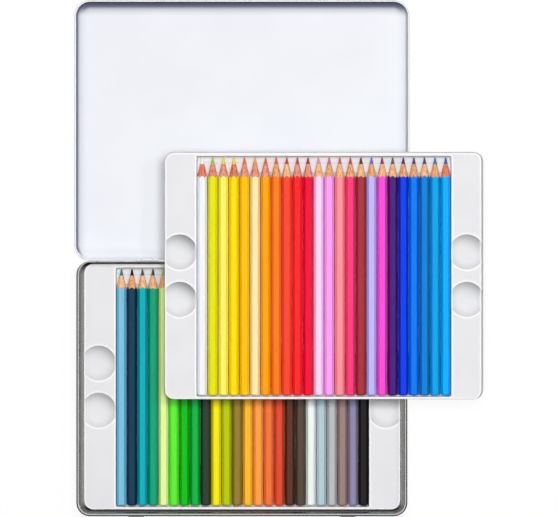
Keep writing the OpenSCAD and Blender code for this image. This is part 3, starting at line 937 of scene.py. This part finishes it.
def make_pan(profile, half_w, half_d, corner, middle, front_xs, back_xs, press, tones):
    """Carries a closed profile of (inset, z) around a rounded rectangle and fills its panel. press moves a
    point, and tones names what it carries for its material. Both know which way a place faces."""
    bm = bmesh.new()
    layers = {name: bm.verts.layers.float.new(name) for name in tones}
    rings = []
    for inset, z in profile:
        ring = []
        for quadrant, (sx, sy) in enumerate(((1, 1), (-1, 1), (-1, -1), (1, -1))):
            centre = (sx * (half_w - corner), sy * (half_d - corner))
            for step in range(ARC_STEPS + 1):
                degrees = 90 * (quadrant + step / ARC_STEPS)
                ring.append((polar(corner - inset, degrees, centre), Vector(polar(1.0, degrees))))
            if quadrant == 0:
                ring.extend(((x, half_d - inset), Vector((0, 1))) for x in reversed(back_xs))
            if quadrant == 2:
                ring.extend(((x, inset - half_d), Vector((0, -1))) for x in front_xs)
        rings.append([press(x, y, z, inset, way) + middle for (x, y), way in ring])
    for loop, (inset, z) in zip(loft(bm, rings), profile):
        for vert, (_, way) in zip(loop, ring):
            for name, layer in layers.items():
                vert[layer] = tones[name](inset, z, way)
    return bm


def pressed(x, z, rim_z, middle_x, length, section_r, out, drop):
    """How far the pressed beads with their round ends stand out of a wall."""
    along = max(abs(abs(x) - middle_x) - (length / 2 - section_r), 0)
    flank = section_r ** 2 - along ** 2 - (z - rim_z + drop) ** 2
    if flank <= 0:
        return 0.0
    return soft_max(0, math.sqrt(flank) - (section_r - out), 0.25)


def near_beads(bead, margin=0.6, step=0.6):
    """Places along a wall that follow its beads."""
    reach = bead["length"] / 2 + margin
    middles = (-bead["middle_x"], bead["middle_x"])
    return tidy([place for x in middles for place in steps(x - reach, x + reach, step)])


def make_base():
    low, high = box_mm("base_shell")
    half_w = (high.x - low.x) / 2
    half_d = -low.y - BASE_LATCH["out"]
    rim_z = high.z
    bead_z = rim_z - RIM_BEAD_R
    latch_z = rim_z - BASE_LATCH["drop"]
    floor_inset = BASE_CORNER - 0.8
    profile = [(floor_inset, 0.0)]
    profile += arc(BASE_BEND, BASE_BEND, BASE_BEND, -90, 0, 8)
    profile += wall(0.0, BASE_BEND + 0.4, bead_z - 0.3, latch_z)
    profile += arc(RIM_BEAD_R, bead_z, RIM_BEAD_R, 0, 252, 20)
    profile += wall(TIN_SHEET, bead_z - RIM_BEAD_R - 0.1, BASE_BEND + 0.4, latch_z)
    profile += arc(BASE_BEND, BASE_BEND, BASE_BEND - TIN_SHEET, 0, -90, 6)
    profile += [(inset, TIN_SHEET) for inset in (3.6, 4.2, 4.7, 6.0, floor_inset)]

    # Painted shade on the bead's edges and on the tin's floor beside the bead
    def painted_fold_shade(inset, z, way):
        if z > rim_z - 2 * RIM_BEAD_R:
            return read_table(BEAD_SHADE, inset) * (1 - ease(way.y))
        if inset < TIN_SHEET or z < TIN_SHEET - 0.01:
            return 0.0
        side = read_table(TIN_SIDE_SHADE, inset)
        end = read_table(TIN_REAR_SHADE if way.y > 0 else TIN_FRONT_SHADE, inset)
        return side + (end - side) * ease(abs(way.y))

    def press(x, y, z, inset, way):
        out = 0.0
        if y < 0 and inset < 0.5:
            out = pressed(x, z, rim_z, **BASE_LATCH)
        if z > rim_z - 2.2 * RIM_BEAD_R and way.y > 0:
            drawn = ease(way.y) * (1 - REAR_BEAD_R / RIM_BEAD_R)
            z += (rim_z - z) * drawn
            y += inset * drawn
        return Vector((x, y - out, z))

    xs = near_beads(BASE_LATCH)
    bm = make_pan(profile, half_w, half_d, BASE_CORNER, Vector((0, 0, 0)), xs, [], press, {"painted_fold_shade": painted_fold_shade})
    build("base_pan", bm, tinplate, "base", replaces=("base_shell",))


def make_lid():
    low, high = box_mm("lid_shell")
    pin_low, pin_high = box_mm("hinge_pin_left")
    axis_y = (pin_low.y + pin_high.y) / 2
    axis_z = (pin_low.z + pin_high.z) / 2
    half_w = (high.x - low.x) / 2 - HEM_OUT
    far = high.y - HEM_OUT
    near = axis_y - TIN_SHEET / 2
    half_d = (far - near) / 2
    rim_z = axis_z + 0.5
    hem_r = (TIN_SHEET + HEM_OUT + HEM_IN) / 2
    floor_inset = LID_CORNER - 0.8
    latch_z = rim_z - LID_LATCH["drop"]
    pip_z = rim_z - LID_PIP["drop"]
    hem_z = rim_z - HEM_HEIGHT
    profile = [(floor_inset, 0.0)]
    profile += arc(LID_BEND, LID_BEND, LID_BEND, -90, 0, 8)
    profile += wall(0.0, LID_BEND + 0.3, hem_z - 0.1, latch_z, pip_z)
    profile += [(-0.08, hem_z + 0.05), (-0.2, hem_z), (-0.36, hem_z + 0.04), (-HEM_OUT, hem_z + 0.2)]
    profile += arc(hem_r - HEM_OUT, rim_z - hem_r, hem_r, 0, 250, 20)
    profile += wall(TIN_SHEET, rim_z - 2.1 * hem_r, LID_BEND + 0.3, latch_z, pip_z)
    profile += arc(LID_BEND, LID_BEND, LID_BEND - TIN_SHEET, 0, -90, 8)
    profile += [(inset, TIN_SHEET) for inset in (4.2, 5.0, 6.0, 7.2, 8.7, floor_inset)]

    # Painted shade in the lid's folds, deepest at the far wall, and on the outer side of the hem
    def painted_fold_shade(inset, z, way):
        if inset < 0:
            return OUTSIDE_SHADE * ease(-inset / 0.3)
        if inset < TIN_SHEET or z < TIN_SHEET - 0.01 or z > rim_z - 2 * hem_r:
            return 0.0
        side = read_table(SIDE_FOLD_SHADE, inset) * (1 - (1 - RIGHT_SHARE) * ease(way.x))
        if way.y > 0:
            return side + (read_table(FAR_FOLD_SHADE, inset) - side) * ease(way.y)
        near = read_table(NEAR_FOLD_SHADE, inset)
        return near + (side - near) * ease(1.5 * (1 + way.y))

    # A painted highlight along the top of the hem
    def lip(inset, z, way):
        return ease((z - rim_z + hem_r) / (0.7 * hem_r)) * ease((inset + 0.3) / 0.5)

    def press(x, y, z, inset, way):
        push = 0.0
        if y > 0 and 0 <= inset < 0.5:
            push = max(pressed(x, z, rim_z, **bead) for bead in (LID_LATCH, LID_PIP))
        return Vector((x, y - push, z))

    xs = tidy(near_beads(LID_LATCH) + near_beads(LID_PIP, 0.3, 0.35))
    middle = Vector((0, (far + near) / 2, 0))
    tones = {"painted_fold_shade": painted_fold_shade, "lip": lip}
    bm = make_pan(profile, half_w, half_d, LID_CORNER, middle, [], xs, press, tones)
    lid = build("lid_pan", bm, enamel, "lid", replaces=("lid_shell",))
    cut_notches(lid, axis_y, axis_z, rim_z)
    make_knuckles(axis_y, axis_z)


def cut_notches(lid, axis_y, axis_z, rim_z):
    """Cuts the base's knuckles free, and the slits by the hinges, in the lid's rear wall."""
    bm = bmesh.new()
    bottom = axis_z - NOTCH_DROP
    top = rim_z + 1.0
    half_room = BASE_KNUCKLE_HALF + KNUCKLE_GAP
    spans = [(-half_room, half_room), (HINGE_HALF, HINGE_HALF + SLIT), (-HINGE_HALF - SLIT, -HINGE_HALF)]
    for side in (-1, 1):
        for start, end in spans:
            made = bmesh.ops.create_cube(bm, size=1.0)["verts"]
            bmesh.ops.scale(bm, verts=made, vec=(end - start, 4.0, top - bottom))
            centre = Vector((side * HINGE_X + (start + end) / 2, axis_y, (bottom + top) / 2))
            bmesh.ops.translate(bm, verts=made, vec=centre)
    cutter = new_object("Notches", bm)
    cut = lid.modifiers.new("Notches", "BOOLEAN")
    cut.operation = "DIFFERENCE"
    cut.solver = "EXACT"
    cut.object = cutter
    lid.modifiers.move(1, 0)
    view = bpy.context.evaluated_depsgraph_get()
    cut_mesh = bpy.data.meshes.new_from_object(lid.evaluated_get(view))
    lid.modifiers.clear()
    lid.data = cut_mesh
    shade_evenly(lid)
    bpy.data.objects.remove(cutter)


def curl(bm, axis_y, axis_z, x_low, x_high, start, sweep):
    """A strip of sheet curled around the hinge wire, from one angle through a sweep."""
    def point(radius, x, step):
        return Vector((x, *polar(radius, start + sweep * step / CURL_STEPS, (axis_y, axis_z))))

    inner = (PIN_HOLE_R, CURL_CHAMFER), (PIN_HOLE_R + CURL_CHAMFER, 0)
    outer = (KNUCKLE_R - CURL_CHAMFER, 0), (KNUCKLE_R, CURL_CHAMFER)
    section = [(radius, x_low + back) for radius, back in inner + outer]
    section += [(radius, x_high - back) for radius, back in reversed(inner + outer)]
    loft(bm, [[point(radius, x, step) for radius, x in section] for step in range(CURL_STEPS + 1)])


def make_knuckles(axis_y, axis_z):
    """Curled knuckles: the middle one of each hinge on the base, the outer two on the lid."""
    inner = BASE_KNUCKLE_HALF + KNUCKLE_GAP
    on_base = bmesh.new()
    on_lid = bmesh.new()
    base_low, _ = box_mm("base_shell")
    wall_y = -base_low.y - BASE_LATCH["out"] - TIN_SHEET / 2
    tab_y = axis_y + 0.1
    tab_z = axis_z - KNUCKLE_R
    tab = ((wall_y, tab_z), (tab_y, tab_z), (tab_y, tab_z + TIN_SHEET), (wall_y, tab_z + TIN_SHEET))
    for side in (-1, 1):
        x = side * HINGE_X
        ends = (x - BASE_KNUCKLE_HALF, x + BASE_KNUCKLE_HALF)
        curl(on_base, axis_y, axis_z, *ends, *BASE_CURL)
        loft(on_base, [[Vector((end, y, z)) for y, z in tab] for end in ends])
        for start, end in ((inner, HINGE_HALF), (-HINGE_HALF, -inner)):
            curl(on_lid, axis_y, axis_z, x + start, x + end, *LID_CURL)
    build("base_knuckles", on_base, enamel, "base")
    build("lid_knuckles", on_lid, enamel, "lid")


make_base()
make_lid()
for node in ("hinge_pin_left", "hinge_pin_right"):
    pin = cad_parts[node]
    pin.data.materials.clear()
    pin.data.materials.append(wire)


# Floor, world and lights

FILL = 0.17
FILL_COLOUR = (0.90, 0.93, 1.0, 1.0)
LAMP_COLOUR = (1.0, 0.985, 0.965)
LAMP_DISTANCE = 2200.0
# Each lamp's power in watts, sides in metres, and tilts in degrees towards the right and towards the lid
KEY = dict(power=45.5, size=(0.95, 0.9), tilt_x=1.0, tilt_y=6.0)
GLINT = dict(power=3.4, size=(0.22, 0.22), tilt_x=30.0, tilt_y=12.0)
FLOOR_SIZE = 12000.0
FLOOR_DROP = 0.2
# Share of white that the floor shows to the camera, and the brightness that reflections find there
FLOOR_GLOW = 0.9
MIRRORED_GLOW = 0.2
# Brightness of the surroundings by the height of the direction: 0 at the horizon and 1 straight up
SKY_IN_REFLECTIONS = ((0.0, 0.05), (0.6, 0.12), (0.88, 0.9), (0.95, 1.0), (1.0, 0.9))
SKY_AS_FILL = ((0.0, 0.25), (0.5, 0.5), (0.9, 1.0))


def calculate(tree, operation, first, second):
    return add_node(tree, "Math", {0: first, 1: second}, operation=operation).outputs["Value"]


def ray_kinds(tree):
    """Two factors: 1 for the camera's rays, and 1 for those of reflections and refractions."""
    rays = add_node(tree, "LightPath", {}).outputs
    mirrored = calculate(tree, "MAXIMUM", rays["Is Glossy Ray"], rays["Is Transmission Ray"])
    return rays["Is Camera Ray"], mirrored


def mixed(tree, factor, first, second):
    """Two shaders mixed by a factor."""
    return add_node(tree, "MixShader", {0: factor, 1: first, 2: second}).outputs["Shader"]


def make_floor():
    """Plain white paper, which keeps a share of the object's shadow."""
    half = FLOOR_SIZE / 2
    bm = bmesh.new()
    corners = ((-half, -half), (half, -half), (half, half), (-half, half))
    bm.faces.new([bm.verts.new((x + LOOK_AT[0], y + LOOK_AT[1], -FLOOR_DROP)) for x, y in corners])
    floor = new_object("Floor", bm)
    material = bpy.data.materials.new("Floor")
    material.use_nodes = True
    tree = material.node_tree
    tree.nodes.clear()
    seen, mirrored = ray_kinds(tree)
    level = calculate(tree, "MAXIMUM", seen, calculate(tree, "MULTIPLY", mirrored, MIRRORED_GLOW))
    share = calculate(tree, "MULTIPLY", calculate(tree, "MAXIMUM", seen, mirrored), FLOOR_GLOW)
    paper = add_node(tree, "BsdfDiffuse", {"Color": (0.96, 0.96, 0.96, 1.0)}).outputs["BSDF"]
    glow = add_node(tree, "Emission", {"Strength": level}).outputs["Emission"]
    add_node(tree, "OutputMaterial", {"Surface": mixed(tree, share, paper, glow)})
    floor.data.materials.append(material)


def sky(tree, colour, strength, heights=()):
    """A background of one colour, whose brightness may follow a table of heights."""
    if heights:
        direction = add_node(tree, "TexCoord", {}).outputs["Generated"]
        split = add_node(tree, "SeparateXYZ", {"Vector": direction})
        stops = [(height, (level, level, level, 1.0)) for height, level in heights]
        strength = calculate(tree, "MULTIPLY", colour_ramp(tree, split.outputs["Z"], stops), strength)
    return add_node(tree, "Background", {"Color": colour, "Strength": strength}).outputs["Background"]


def make_world():
    """White for the camera, a studio for reflections and a faint cool fill for the rest."""
    world = bpy.data.worlds.new("Studio")
    bpy.context.scene.world = world
    world.use_nodes = True
    tree = world.node_tree
    tree.nodes.clear()
    white = (1.0, 1.0, 1.0, 1.0)
    plain = sky(tree, white, 1.0)
    studio = sky(tree, white, 1.0, SKY_IN_REFLECTIONS)
    fill = sky(tree, FILL_COLOUR, FILL, SKY_AS_FILL)
    seen, mirrored = ray_kinds(tree)
    surface = mixed(tree, seen, mixed(tree, mirrored, fill, studio), plain)
    add_node(tree, "OutputWorld", {"Surface": surface})


def make_lamp(name, power, size, tilt_x, tilt_y, in_reflections):
    """A softbox overhead, aimed at the middle of the photograph."""
    light = bpy.data.lights.new(name, "AREA")
    light.shape = "RECTANGLE"
    light.size, light.size_y = size
    light.energy = power
    light.color = LAMP_COLOUR
    lamp = add_object(name, light)
    aim = Vector((*LOOK_AT, 0)) * MM
    towards = Vector((math.tan(math.radians(tilt_x)), math.tan(math.radians(tilt_y)), 1.0)).normalized()
    lamp.location = aim + towards * LAMP_DISTANCE * MM
    lamp.rotation_mode = "QUATERNION"
    lamp.rotation_quaternion = towards.to_track_quat("Z", "Y")
    lamp.visible_glossy = in_reflections


make_floor()
make_world()
make_lamp("Key", **KEY, in_reflections=False)
make_lamp("Glint", **GLINT, in_reflections=True)

bpy.context.view_layer.update()
